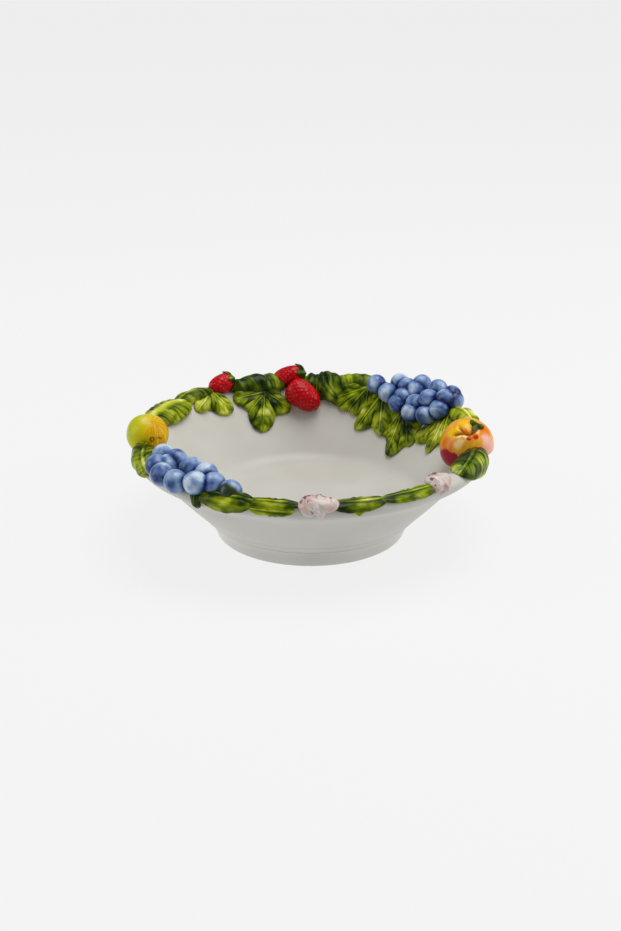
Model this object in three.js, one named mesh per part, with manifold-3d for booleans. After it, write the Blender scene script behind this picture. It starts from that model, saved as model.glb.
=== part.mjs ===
// A serving bowl of glazed earthenware on a foot ring, with a garland of moulded fruit and leaves
// pressed on around its rim. Millimetres, +Z up, standing on z = 0, its front towards -Y.
import * as THREE from 'three';
import { mergeVertices } from 'three/addons/utils/BufferGeometryUtils.js';
import Module from 'manifold-3d';

const wasm = await Module();
wasm.setup();

// Driving dimensions of the foot ring
const footRadius = 85; // outside, where it stands
const footTopRadius = 91.8; // outside, under the body
const footHeight = 17;
const footWidth = 14; // of its flat standing face and rounded edges together
const footEdge = 2.5; // rounding of the standing edges

// Driving dimensions of the body
const wall = 8.5;
const floorThickness = 12.5;
const floorFillet = 22; // inside, between floor and wall
const bellyRadius = 107.5; // the outside swells towards this point above the foot
const bellyHeight = 29.5;
const neckRadius = 142; // outside, where the wall turns out into the rim
const neckHeight = 68.5;
const rimRadius = 151; // circle through the middle of the round roll along the rim
const rimHeight = 81.3;
const rollRadius = 8;
const rollRoot = 20; // length of wall that leans over to the roll

// Driving dimensions of the garland
const slip = 0.3; // film of slip that lutes one piece to the next
const leafRise = 4.5; // middle of a leaf above the rim
const leafEdge = 1.6; // edge of a leaf above the rim
const leafRoot = 4; // how deep a leaf is drawn before its seat is cut
const frontBerryRadius = 10.4;
const backBerryRadius = 9.6;
const strawberryWaist = 0.62; // share of a strawberry's length from its tip to where it is widest
const strawberryEnd = 0.3; // share of its radius that its two ends keep
const strawberryTaper = 0.85; // share of its radius and of its waist that the taper bends through
const quinceRadius = 19;
const quinceHeight = 36;
const peachRadius = 24;
const peachCleft = 1.6; // depth of the groove down the peach
const peachCleftWidth = 0.28; // of that groove, in radians
const peachCleftTurn = 160; // degrees that the groove stands round the stalk
const peachUndercut = 3.5; // how far below the roll's middle the peach ends, outside the rim
const peachOverhang = 2.5; // how far above it the peach ends where it stands out furthest
const frontPetal = 2.5; // how far its petals reach past the oval of a blossom
const rightPetal = 2.5;
const calyxThickness = 2.4;
const peachCalyxReach = 7; // of its sepals from the stalk
const strawberryCalyxReach = 10;
const weld = 1e-4; // points closer than this are one point
const glazeRoughness = 0.2;
const footRoughness = 0.35;

// Steps that round surfaces are drawn with
const turnSides = 48;
const leafSides = 20;
const leafRings = 6;
const berrySides = 8;
const berryRings = 5;
const fruitSides = 14;
const fruitRings = 8;
const calyxSides = 15;
const calyxRings = 4;

const white = 0xe9e8e2;
const biscuit = 0xe2ded2;
const paleGreen = 0x8f9a2c;
const midGreen = 0x64781c;
const darkGreen = 0x36471a;
const grapeBlue = 0x6f86b8;
const berryRed = 0xb9161c;
const quinceYellow = 0xd8c024;
const peachOrange = 0xd98a3a;
const blossomPink = 0xd9c4c6;

const rad = THREE.MathUtils.degToRad;
const group = new THREE.Group();

// The section through the rim: a wall, a straight back that leans over, and a round roll.
const wallRun = new THREE.Vector2(neckRadius - bellyRadius, neckHeight - bellyHeight).normalize();
const wallFace = new THREE.Vector2(-wallRun.y, wallRun.x);
const neck = new THREE.Vector2(neckRadius, neckHeight);
const rollCentre = new THREE.Vector2(rimRadius, rimHeight);
const backFoot = neck.clone().addScaledVector(wallFace, wall).addScaledVector(wallRun, -rollRoot);
const toRoll = rollCentre.clone().sub(backFoot);
const backLength = Math.sqrt(toRoll.lengthSq() - rollRadius ** 2);
const backAngle = toRoll.angle() + Math.asin(rollRadius / toRoll.length());
const backRun = new THREE.Vector2(Math.cos(backAngle), Math.sin(backAngle));
const backFace = new THREE.Vector2(-backRun.y, backRun.x);
const rollInside = backAngle * rollRadius;
const underLip = rollCentre.clone().sub(neck);
const underAngle = underLip.angle() - Math.asin(rollRadius / underLip.length());

// A point of the section: across is measured along it from the roll's top, outwards, and lift off it.
function section(across, lift) {
  if (across > -rollInside) {
    const angle = Math.PI / 2 - across / rollRadius;
    const spoke = new THREE.Vector2(Math.cos(angle), Math.sin(angle));
    return rollCentre.clone().addScaledVector(spoke, rollRadius + lift);
  }
  const down = -across - rollInside;
  if (down < backLength) {
    return backFoot.clone().addScaledVector(backRun, backLength - down).addScaledVector(backFace, lift);
  }
  return backFoot.clone().addScaledVector(wallRun, backLength - down).addScaledVector(wallFace, lift);
}

// The same point set round the bowl, at a bearing in radians from +X towards +Y.
function onRim(bearing, across, lift) {
  const { x, y } = section(across, lift);
  return new THREE.Vector3(x * Math.cos(bearing), x * Math.sin(bearing), y);
}

// The frame of a spot on the rim: X outwards across it, Y along it, Z straight off it.
function rimFrame({ bearing, across, lift }) {
  const turn = rad(bearing);
  const spot = onRim(turn, across, lift);
  const off = onRim(turn, across, lift + rollRadius).sub(spot).normalize();
  const along = new THREE.Vector3(-Math.sin(turn), Math.cos(turn), 0);
  const out = along.clone().cross(off);
  return new THREE.Matrix4().makeBasis(out, along, off).setPosition(spot);
}

function solidOf(geometry) {
  const bare = geometry.clone();
  bare.deleteAttribute('normal');
  bare.deleteAttribute('uv');
  const merged = mergeVertices(bare, weld);
  const mesh = new wasm.Mesh({
    numProp: 3,
    vertProperties: new Float32Array(merged.attributes.position.array),
    triVerts: new Uint32Array(merged.index.array),
  });
  return new wasm.Manifold(mesh);
}

function geometryOf(solid) {
  const mesh = solid.getMesh();
  const geometry = new THREE.BufferGeometry();
  geometry.setAttribute('position', new THREE.BufferAttribute(mesh.vertProperties, 3));
  geometry.setIndex(new THREE.BufferAttribute(mesh.triVerts, 1));
  geometry.computeVertexNormals();
  return geometry;
}

function addMesh(name, geometry, color, roughness) {
  const mesh = new THREE.Mesh(geometry, new THREE.MeshStandardMaterial({ color, roughness, metalness: 0 }));
  mesh.name = name;
  group.add(mesh);
}

// Lathe work: a profile in radius and height becomes a turned solid about Z.
function turned(profile) {
  return new THREE.LatheGeometry(profile, turnSides).rotateX(Math.PI / 2);
}

function arc(centre, radius, from, to, steps) {
  return Array.from({ length: steps + 1 }, (_, i) => {
    const angle = from + ((to - from) * i) / steps;
    return new THREE.Vector2(centre.x + radius * Math.cos(angle), centre.y + radius * Math.sin(angle));
  });
}

function footRing() {
  const inner = footRadius - footWidth;
  const top = footHeight - slip;
  const profile = [
    new THREE.Vector2(inner + footEdge, 0),
    new THREE.Vector2(footRadius - footEdge, 0),
    new THREE.Vector2(footRadius, footEdge),
    new THREE.Vector2(footTopRadius, top),
    new THREE.Vector2(inner, top),
    new THREE.Vector2(inner, footEdge),
    new THREE.Vector2(inner + footEdge, 0),
  ];
  return turned(profile);
}

// The body. Grown by a film of slip it cuts the seats of the garland.
function bowlBody(grow) {
  const foot = new THREE.Vector2(footTopRadius, footHeight);
  const belly = new THREE.QuadraticBezierCurve(foot, new THREE.Vector2(bellyRadius, bellyHeight), neck);
  const floor = footHeight + floorThickness;
  const wallLow = backFoot.clone().addScaledVector(wallRun, (floor - backFoot.y) / wallRun.y);
  const filletRun = floorFillet * Math.tan(wallRun.angle() / 2);
  const filletCentre = new THREE.Vector2(wallLow.x - filletRun, floor + floorFillet);
  const wallTurn = wallRun.angle() - Math.PI / 2;
  const profile = [
    new THREE.Vector2(0, footHeight),
    ...belly.getPoints(3),
    ...arc(rollCentre, rollRadius + grow, underAngle - Math.PI / 2, backAngle + Math.PI / 2, 7),
    backFoot.clone().addScaledVector(wallFace, grow),
    ...arc(filletCentre, floorFillet - grow, wallTurn, -Math.PI / 2, 3),
    new THREE.Vector2(0, floor + grow),
  ];
  return turned(profile);
}

// Reach of a leaf's outline from its middle: an oval with lobes, each [aim, extra reach, half spread].
function outline({ length, width, lobes }, angle) {
  const oval = 1 / Math.hypot(Math.cos(angle) / (length / 2), Math.sin(angle) / (width / 2));
  return lobes.reduce((reach, [aim, extra, spread]) => {
    const off = Math.atan2(Math.sin(angle - rad(aim)), Math.cos(angle - rad(aim))) / rad(spread);
    return Math.abs(off) < 1 ? reach + extra * Math.cos((off * Math.PI) / 2) ** 2 : reach;
  }, oval);
}

// Lobes evenly round an outline.
function petals(count, extra) {
  return Array.from({ length: count }, (_, i) => [(i * 360) / count, extra, 180 / count]);
}

// A leaf or blossom pressed onto the rim: a ball drawn out to the outline and laid along the section.
function pressed(sprig, grow) {
  const { bearing, across, turn, rise = leafRise, edge = leafEdge } = sprig;
  const ball = new THREE.SphereGeometry(1, leafSides, leafRings);
  const points = ball.attributes.position;
  for (let i = 0; i < points.count; i++) {
    const up = points.getY(i);
    const angle = Math.atan2(points.getZ(i), points.getX(i));
    const reach = (outline(sprig, angle) + grow) * Math.hypot(points.getX(i), points.getZ(i));
    const out = across + reach * Math.sin(angle + rad(turn));
    const along = (reach * Math.cos(angle + rad(turn))) / section(out, 0).x;
    const lift = edge + ((up > 0 ? rise - edge : leafRoot + edge) + grow) * up;
    points.setXYZ(i, ...onRim(rad(bearing) + along, out, lift));
  }
  return ball;
}

function berry(sprig, grow) {
  return new THREE.SphereGeometry(sprig.radius + grow, berrySides, berryRings).applyMatrix4(rimFrame(sprig));
}

// The frame of a fruit: its stalk end up off the rim, then leant over towards aim, as a leaf's turn is.
function lean(sprig) {
  const axis = new THREE.Vector3(-Math.cos(rad(sprig.aim)), Math.sin(rad(sprig.aim)), 0);
  const tilt = new THREE.Matrix4().makeRotationAxis(axis, rad(sprig.lean));
  const upright = new THREE.Matrix4().makeRotationX(Math.PI / 2);
  return rimFrame(sprig).multiply(tilt).multiply(upright);
}

function strawberry(sprig, grow) {
  const { length } = sprig;
  const radius = sprig.radius + grow;
  const tip = -length * strawberryWaist - grow;
  const top = length + tip + 2 * grow;
  const end = radius * strawberryEnd;
  const taper = new THREE.CubicBezierCurve(
    new THREE.Vector2(end, tip),
    new THREE.Vector2(radius * strawberryTaper, tip * strawberryTaper),
    new THREE.Vector2(radius, tip * strawberryEnd),
    new THREE.Vector2(radius, 0),
  );
  const shoulder = new THREE.QuadraticBezierCurve(
    new THREE.Vector2(radius, 0),
    new THREE.Vector2(radius, top),
    new THREE.Vector2(end, top),
  );
  const profile = [
    new THREE.Vector2(0, tip),
    ...taper.getPoints(4),
    ...shoulder.getPoints(3).slice(1),
    new THREE.Vector2(0, top),
  ];
  return new THREE.LatheGeometry(profile, fruitSides).applyMatrix4(lean(sprig));
}

function quince(sprig, grow) {
  const ball = new THREE.SphereGeometry(1, fruitSides, fruitRings);
  ball.scale(quinceRadius + grow, quinceHeight / 2 + grow, quinceRadius + grow);
  return ball.applyMatrix4(lean(sprig));
}

// Outside the rim the peach ends on the roll: this ring is what would hang below it.
function belowRoll(grow) {
  const middle = neck.clone().addScaledVector(wallFace, wall / 2);
  const low = middle.clone().addScaledVector(wallRun, -2 * peachRadius);
  const far = rimRadius + peachRadius;
  const profile = [
    low,
    new THREE.Vector2(far, low.y),
    new THREE.Vector2(far, rimHeight + peachOverhang - grow),
    new THREE.Vector2(rimRadius, rimHeight - peachUndercut - grow),
    middle,
    low,
  ];
  return turned(profile);
}

// The cleft runs down one side of the peach, from stalk to tip.
function peach(sprig, grow) {
  const ball = new THREE.SphereGeometry(1, fruitSides, fruitRings);
  const points = ball.attributes.position;
  for (let i = 0; i < points.count; i++) {
    const spot = new THREE.Vector3().fromBufferAttribute(points, i);
    const turn = Math.atan2(spot.z, spot.x) - rad(peachCleftTurn);
    const round = Math.atan2(Math.sin(turn), Math.cos(turn)) / peachCleftWidth;
    const groove = peachCleft * Math.exp(-round * round) * Math.hypot(spot.x, spot.z);
    points.setXYZ(i, ...spot.multiplyScalar(peachRadius + grow - groove));
  }
  const whole = solidOf(ball.applyMatrix4(lean(sprig)));
  return geometryOf(whole.subtract(solidOf(belowRoll(grow))));
}

// The leafy cap at the stalk end of a fruit: sepals round the fruit's axis, that droop over its shoulder.
function calyx({ fruit, stalk, reach, sepals }, grow) {
  const ball = new THREE.SphereGeometry(1, calyxSides, calyxRings);
  const points = ball.attributes.position;
  const lobes = petals(sepals, reach / 2);
  for (let i = 0; i < points.count; i++) {
    const angle = Math.atan2(points.getZ(i), points.getX(i));
    const rim = outline({ length: reach, width: reach, lobes }, angle) + grow;
    const out = rim * Math.hypot(points.getX(i), points.getZ(i));
    const droop = (out * out) / (2 * reach);
    const up = stalk + (calyxThickness + grow) * points.getY(i) - droop;
    points.setXYZ(i, out * Math.cos(angle), up, out * Math.sin(angle));
  }
  return ball.applyMatrix4(lean(fruit));
}

// Leaves and blossoms, lowest first. Bearing in degrees, across and sizes in millimetres, turn and the
// aim of each lobe in degrees from the line along the rim.
const quinceLeaf = {
  bearing: -161, across: 3, turn: 10, length: 60, width: 26, lobes: [[180, 4, 40]], rise: 6,
};
const ovalLeaf = {
  bearing: 154.5, across: -1, turn: 6, length: 64, width: 29, lobes: [[0, 4, 40]], rise: 10,
};
const narrowLeaf = {
  bearing: 136, across: 4, turn: 0, length: 50, width: 20, lobes: [[0, 3, 40]], rise: 11,
};
const forkedLeaf = {
  bearing: 132.5, across: -7, turn: 0, length: 26, width: 20, rise: 6,
  lobes: [[-14, 8.5, 48], [-140, 14, 70]],
};
const upperLeaf = {
  bearing: 109.5, across: 2, turn: 0, length: 66, width: 26, rise: 13,
  lobes: [[30, 3, 30], [150, 3, 30]],
};
const threeLobedLeaf = {
  bearing: 110.5, across: -15, turn: 0, length: 38, width: 38, rise: 7,
  lobes: [[10, 10, 42], [-80, 16, 54], [-152, 12, 40], [120, 10, 75]],
};
const ridgeLeaf = {
  bearing: 71, across: 4, turn: 0, length: 56, width: 20, lobes: [[180, 4, 40]], rise: 12,
};
const darkLeaf = {
  bearing: 84, across: -3, turn: 0, length: 50, width: 32, rise: 12,
  lobes: [[-60, 3, 30], [-118, 5, 34]],
};
const middleLeaf = {
  bearing: 71.5, across: -14, turn: 0, length: 42, width: 32, rise: 7,
  lobes: [[-14, 5, 26], [-50, 2, 24], [-101, 3.5, 30], [70, 4, 40]],
};
const vineLeafLeft = {
  bearing: 60, across: -24, turn: 0, length: 38, width: 38,
  lobes: [[-51, 10, 36], [-117, 9, 32], [80, 8, 50]],
};
const vineLeafMiddle = {
  bearing: 44.5, across: -28, turn: 0, length: 36, width: 42,
  lobes: [[-87, 18, 34], [-130, 8, 34], [-46, 8, 32]],
};
const vineLeafRight = {
  bearing: 25, across: -20, turn: 0, length: 48, width: 34,
  lobes: [[-98, 10.5, 28], [-48, 12, 40]],
};
const smallLeaf = { bearing: 19, across: 0, turn: 180, length: 42, width: 18, lobes: [[0, 4, 40]], rise: 9 };
const slenderLeaf = {
  bearing: -58, across: 5, turn: 0, length: 56, width: 11, lobes: [[0, 3, 40]], rise: 2.8,
};
const droopingLeaf = {
  bearing: -75.5, across: 6, turn: 180, length: 48, width: 13, lobes: [[-90, 2, 50]], rise: 3,
};
const underLeaf = {
  bearing: -101, across: 10, turn: 0, length: 34, width: 9, lobes: [[180, 3, 40]], rise: 3,
};
const frontLeaf = {
  bearing: -101, across: 5, turn: 0, length: 44, width: 11, lobes: [[180, 3, 40]], rise: 3,
};
const leftLeaf = { bearing: -117, across: 6, turn: 180, length: 54, width: 21, lobes: [[-90, 1, 50]] };
const curledTip = { bearing: -126.5, across: 8, turn: 90, length: 19, width: 11, lobes: [[0, 3, 40]] };
const frontBlossom = {
  bearing: -88, across: 5.5, turn: 0, length: 31, width: 13, rise: 7.5, edge: 2.5,
  lobes: petals(5, frontPetal),
};
const rightBlossom = {
  bearing: -45.5, across: 2.5, turn: 0, length: 22, width: 14, rise: 7.5, edge: 2.5,
  lobes: petals(5, rightPetal),
};

// Fruit, each placed by its middle.
const quinceSprig = { bearing: 180, across: -3, lift: 3.5, aim: 0, lean: 25 };
const peachSprig = { bearing: -2, across: -11, lift: 1.5, aim: 113, lean: 70 };
const strawberries = {
  strawberry_small: { bearing: 124, across: 0, lift: 9, aim: 180, lean: 80, length: 25, radius: 9.5 },
  strawberry_lower: { bearing: 94.3, across: -15.2, lift: 8, aim: 42, lean: 92, length: 35, radius: 13.5 },
  strawberry_upper: { bearing: 97, across: -1, lift: 9.5, aim: 180, lean: 82, length: 29, radius: 10 },
};
const frontBerries = [
  [-146.8, 3, 6.5], [-141.3, 5.5, 7.5], [-134, 6, 8.5], [-127.3, 3.5, 8], [-123, -2, 5], [-116.4, -2, 1.5],
  [-154.5, -5, 8.5], [-145.5, -2, 5.5], [-145.5, -5, 11.5], [-136.3, -5, 11.4], [-128.7, -5, 11.1],
];
const backBerries = [
  [63.3, -4, 9.5], [57, -7.5, 9.5], [50.4, -15.4, 9.5], [42.2, -20.3, 9.5], [33.7, -17.4, 9.5],
  [28.5, -7, 9.5], [28.3, 1, 9.5], [55.3, 1, 9], [45.9, 1, 13], [37.8, 1, 13.5], [30, 1, 13.5],
  [42.2, -11.3, 9.5], [49.5, -8, 9], [50.8, -1.5, 8.5], [46.1, -2.5, 9], [35.5, -5.5, 13.5], [29.5, -2, 12.5],
];
const strawberryStalk = (fruit) => fruit.length * (1 - strawberryWaist);
const calyxSmall = {
  fruit: strawberries.strawberry_small,
  stalk: strawberryStalk(strawberries.strawberry_small),
  reach: strawberryCalyxReach,
  sepals: 5,
};
const calyxUpper = {
  fruit: strawberries.strawberry_upper,
  stalk: strawberryStalk(strawberries.strawberry_upper),
  reach: strawberryCalyxReach,
  sepals: 5,
};
const calyxPeach = { fruit: peachSprig, stalk: peachRadius, reach: peachCalyxReach, sepals: 3 };
const peachLeaf = {
  bearing: -23.5, across: 2.5, turn: 0, length: 58, width: 28, lobes: [[180, 4, 40]], rise: 8,
};

const body = solidOf(bowlBody(slip));
const seated = [body];

// Seats a piece: what the body and the earlier pieces take up, with a film of slip, is cut from it.
function seat(name, make, sprig, color) {
  const cut = seated.reduce((left, other) => left.subtract(other), solidOf(make(sprig, 0)));
  const pieces = cut.decompose().sort((a, b) => b.volume() - a.volume());
  seated.push(solidOf(make(sprig, slip)));
  addMesh(name, geometryOf(pieces[0]), color, glazeRoughness);
}

addMesh('foot_ring', footRing(), biscuit, footRoughness);
addMesh('bowl_body', bowlBody(0), white, glazeRoughness);
seat('leaf_under_quince', pressed, quinceLeaf, midGreen);
seat('leaf_oval_left', pressed, ovalLeaf, paleGreen);
seat('leaf_narrow_back', pressed, narrowLeaf, midGreen);
seat('leaf_forked', pressed, forkedLeaf, paleGreen);
seat('leaf_upper_back', pressed, upperLeaf, darkGreen);
seat('leaf_three_lobed', pressed, threeLobedLeaf, midGreen);
seat('leaf_ridge_back', pressed, ridgeLeaf, midGreen);
seat('leaf_dark_back', pressed, darkLeaf, darkGreen);
seat('leaf_middle_back', pressed, middleLeaf, midGreen);
seat('vine_leaf_left', pressed, vineLeafLeft, midGreen);
seat('vine_leaf_middle', pressed, vineLeafMiddle, midGreen);
seat('vine_leaf_right', pressed, vineLeafRight, paleGreen);
seat('leaf_small_right', pressed, smallLeaf, paleGreen);
seat('leaf_slender_front', pressed, slenderLeaf, midGreen);
seat('leaf_drooping_front', pressed, droopingLeaf, midGreen);
seat('leaf_under_front', pressed, underLeaf, midGreen);
seat('leaf_front', pressed, frontLeaf, midGreen);
seat('leaf_left_front', pressed, leftLeaf, midGreen);
seat('leaf_curled_tip', pressed, curledTip, darkGreen);
seat('blossom_front', pressed, frontBlossom, blossomPink);
seat('blossom_right', pressed, rightBlossom, blossomPink);
seat('quince', quince, quinceSprig, quinceYellow);
seat('peach', peach, peachSprig, peachOrange);
seat('peach_leaf', pressed, peachLeaf, darkGreen);
seat('peach_calyx', calyx, calyxPeach, darkGreen);
for (const [name, sprig] of Object.entries(strawberries)) seat(name, strawberry, sprig, berryRed);
seat('calyx_small', calyx, calyxSmall, darkGreen);
seat('calyx_upper', calyx, calyxUpper, darkGreen);
frontBerries.forEach(([bearing, across, lift], i) => {
  seat(`front_grape_${i + 1}`, berry, { bearing, across, lift, radius: frontBerryRadius }, grapeBlue);
});
backBerries.forEach(([bearing, across, lift], i) => {
  seat(`back_grape_${i + 1}`, berry, { bearing, across, lift, radius: backBerryRadius }, grapeBlue);
});

export default group;
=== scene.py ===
import math

import bpy
import numpy as np
from mathutils import Matrix, Vector


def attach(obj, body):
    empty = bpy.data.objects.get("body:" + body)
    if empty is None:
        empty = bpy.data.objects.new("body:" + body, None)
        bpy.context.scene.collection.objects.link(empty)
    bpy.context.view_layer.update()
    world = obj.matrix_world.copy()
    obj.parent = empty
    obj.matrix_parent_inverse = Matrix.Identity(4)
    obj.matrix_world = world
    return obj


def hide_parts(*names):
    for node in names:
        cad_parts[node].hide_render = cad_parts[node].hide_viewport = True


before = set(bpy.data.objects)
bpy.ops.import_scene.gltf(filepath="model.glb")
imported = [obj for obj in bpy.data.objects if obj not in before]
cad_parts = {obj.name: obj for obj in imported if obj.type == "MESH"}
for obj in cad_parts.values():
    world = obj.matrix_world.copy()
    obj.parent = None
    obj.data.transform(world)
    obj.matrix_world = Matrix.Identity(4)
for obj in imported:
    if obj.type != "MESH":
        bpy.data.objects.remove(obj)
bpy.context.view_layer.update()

mm = 0.001
goldenTurn = math.pi * (3 - math.sqrt(5))  # spreads seeds evenly round a fruit
print("frame loaded,", len(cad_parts), "nodes")


def clearSelection():
    if bpy.context.object and bpy.context.object.mode != "OBJECT":
        bpy.ops.object.mode_set(mode="OBJECT")
    bpy.ops.object.select_all(action="DESELECT")


def readPoints(piece):
    points = np.empty(len(piece.data.vertices) * 3)
    piece.data.vertices.foreach_get("co", points)
    return points.reshape(-1, 3)


def writePoints(piece, points):
    piece.data.vertices.foreach_set("co", np.ascontiguousarray(points, dtype=np.float32).ravel())
    piece.data.update()


def writeLayer(piece, name, values):
    values = np.ascontiguousarray(values, dtype=np.float32)
    if values.ndim == 1:
        piece.data.attributes.new(name, "FLOAT", "POINT").data.foreach_set("value", values)
    else:
        piece.data.attributes.new(name, "FLOAT_VECTOR", "POINT").data.foreach_set("vector", values.ravel())


def ease(low, high, value):
    share = np.clip((value - low) / (high - low), 0.0, 1.0)
    return share * share * (3 - 2 * share)


def bell(distance, width):
    return np.exp(-(distance / width) ** 2)


def startBall(name, segments, rings):
    clearSelection()
    bpy.ops.mesh.primitive_uv_sphere_add(segments=segments, ring_count=rings, radius=1.0)
    ball = bpy.context.object
    ball.name = name
    bpy.ops.object.shade_smooth()
    return ball


def settle(piece, node, material):  # a finished piece takes its node's place
    clearSelection()
    piece.select_set(True)
    bpy.context.view_layer.objects.active = piece
    bpy.ops.object.shade_smooth()
    piece.data.materials.clear()
    piece.data.materials.append(material)
    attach(piece, "root")
    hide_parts(node)


# a profile in millimetres, drawn point by point and spun about Z
def turnProfile(name, profile, steps):
    clearSelection()
    bpy.ops.mesh.primitive_plane_add(size=mm)
    piece = bpy.context.object
    piece.name = name
    bpy.ops.object.mode_set(mode="EDIT")
    bpy.ops.mesh.select_all(action="SELECT")
    bpy.ops.mesh.merge(type="CENTER")
    spot = Vector((profile[0][0], 0, profile[0][1])) * mm
    bpy.ops.transform.translate(value=spot)
    for radius, height in profile[1:]:
        goal = Vector((radius, 0, height)) * mm
        bpy.ops.mesh.extrude_vertices_move(TRANSFORM_OT_translate={"value": goal - spot})
        spot = goal
    bpy.ops.mesh.select_all(action="SELECT")
    bpy.ops.mesh.spin(steps=steps, angle=2 * math.pi, center=(0, 0, 0), axis=(0, 0, 1))
    bpy.ops.mesh.select_all(action="SELECT")
    bpy.ops.mesh.remove_doubles(threshold=1e-6)
    bpy.ops.mesh.normals_make_consistent(inside=False)
    bpy.ops.object.mode_set(mode="OBJECT")
    bpy.ops.object.shade_smooth()
    return piece


def roundRing(piece, corner, offset, segments):  # bevels the edge ring that runs through a profile corner
    clearSelection()
    piece.select_set(True)
    bpy.context.view_layer.objects.active = piece
    at = np.array(corner) * mm
    points = readPoints(piece)
    near = np.hypot(np.hypot(points[:, 0], points[:, 1]) - at[0], points[:, 2] - at[1]) < 0.05 * mm
    piece.data.vertices.foreach_set("select", near)
    piece.data.edges.foreach_set("select", np.zeros(len(piece.data.edges), bool))
    piece.data.polygons.foreach_set("select", np.zeros(len(piece.data.polygons), bool))
    bpy.ops.object.mode_set(mode="EDIT")
    bpy.ops.mesh.select_mode(type="EDGE")
    bpy.ops.mesh.bevel(offset=offset * mm, segments=segments, affect="EDGES")
    bpy.ops.mesh.select_mode(type="VERT")
    bpy.ops.object.mode_set(mode="OBJECT")


class Wire:  # one socket of a material; sums on it add Math nodes
    def __init__(self, tree, socket=None):
        self.tree = tree
        self.socket = socket

    def node(self, kind, settings, sockets, output=0):
        made = self.tree.nodes.new(kind)
        for name, value in settings.items():
            if name == "stops":
                first, *between, last = value
                for element, (place, colour) in zip(made.color_ramp.elements, (first, last)):
                    element.position = place
                    element.color = (*colour, 1.0)
                for place, colour in between:
                    made.color_ramp.elements.new(place).color = (*colour, 1.0)
            else:
                setattr(made, name, value)
        for name, value in sockets.items():
            if isinstance(value, Wire):
                self.tree.links.new(value.socket, made.inputs[name])
            else:
                made.inputs[name].default_value = value
        return Wire(self.tree, made.outputs[output] if made.outputs else None)

    def maths(self, operation, first, second):
        return self.node("ShaderNodeMath", {"operation": operation}, {0: first, 1: second})

    def __add__(self, other):
        return self.maths("ADD", self, other)

    def __radd__(self, other):
        return self.maths("ADD", other, self)

    def __sub__(self, other):
        return self.maths("SUBTRACT", self, other)

    def __rsub__(self, other):
        return self.maths("SUBTRACT", other, self)

    def __mul__(self, other):
        return self.maths("MULTIPLY", self, other)

    def __rmul__(self, other):
        return self.maths("MULTIPLY", other, self)

    def __pow__(self, other):
        return self.maths("POWER", self, other)

    def between(self, low, high):  # eased from 0 at low to 1 at high
        return self.node("ShaderNodeMapRange", {"interpolation_type": "SMOOTHSTEP"},
                         {"Value": self, "From Min": low, "From Max": high}, "Result")

    def layer(self, name, output="Fac"):
        return self.node("ShaderNodeAttribute", {"attribute_name": name}, {}, output)

    def place(self):
        return self.node("ShaderNodeTexCoord", {}, {}, "Object")

    def stretched(self, vector, scale):
        return self.node("ShaderNodeVectorMath", {"operation": "MULTIPLY"}, {0: vector, 1: scale})

    def grain(self, vector, scale, detail=3.0, roughness=0.5):
        return self.node("ShaderNodeTexNoise", {}, {"Vector": vector, "Scale": scale, "Detail": detail,
                                                    "Roughness": roughness}, "Fac")

    def blend(self, share, first, second):
        return self.node("ShaderNodeMix", {"data_type": "RGBA"}, {0: share, 6: first, 7: second}, 2)

    def ramp(self, value, stops):
        return self.node("ShaderNodeValToRGB", {"stops": stops}, {"Fac": value}, "Color")


def startGlaze(name):
    material = bpy.data.materials.new(name)
    material.use_nodes = True
    material.node_tree.nodes.clear()
    return material, Wire(material.node_tree)


def finishGlaze(paint, colour, roughness, height, depth, settings):
    normal = paint.node("ShaderNodeBump", {}, {"Height": height, "Distance": depth, "Strength": 1.0}, "Normal")
    shader = paint.node("ShaderNodeBsdfPrincipled", {}, {"Base Color": colour, "Roughness": roughness,
                                                         "Normal": normal, **settings}, "BSDF")
    paint.node("ShaderNodeOutputMaterial", {}, {"Surface": shader})


def tone(red, green, blue):  # a colour as read off a screen, made linear
    return tuple(((value / 255 + 0.055) / 1.055) ** 2.4 if value > 10 else value / 255 / 12.92
                 for value in (red, green, blue))


whiteGlazeLook = {
    "clean": tone(192, 190, 183), "thin": tone(184, 181, 173), "speck": tone(152, 145, 130),
    "gloss": {"IOR": 1.45, "Specular IOR Level": 0.22, "Coat Weight": 0.05, "Coat Roughness": 0.15},
}


def whiteGlaze():
    look = whiteGlazeLook
    material, paint = startGlaze("whiteGlaze")
    place = paint.place()
    cloud = paint.grain(place, 14.0, 2.0)
    fine = paint.grain(place, 160.0, 3.0)
    specks = paint.node("ShaderNodeTexVoronoi", {"feature": "F1"}, {"Vector": place, "Scale": 95.0}, "Distance")
    colour = paint.blend(cloud.between(0.35, 0.75), (*look["clean"], 1), (*look["thin"], 1))
    speckMask = (1 - specks.between(0.02, 0.075)) * paint.grain(place, 31.0, 1.0).between(0.6, 0.72)
    colour = paint.blend(speckMask * 0.4, colour, (*look["speck"], 1))
    height = cloud * 0.7 + fine * 0.05 - speckMask * 0.06
    finishGlaze(paint, colour, fine * 0.1 + 0.32, height, 0.4 * mm, look["gloss"])
    return material


biscuitLook = {"pale": tone(204, 198, 186), "worn": tone(164, 154, 138), "gloss": {"IOR": 1.45}}


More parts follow.
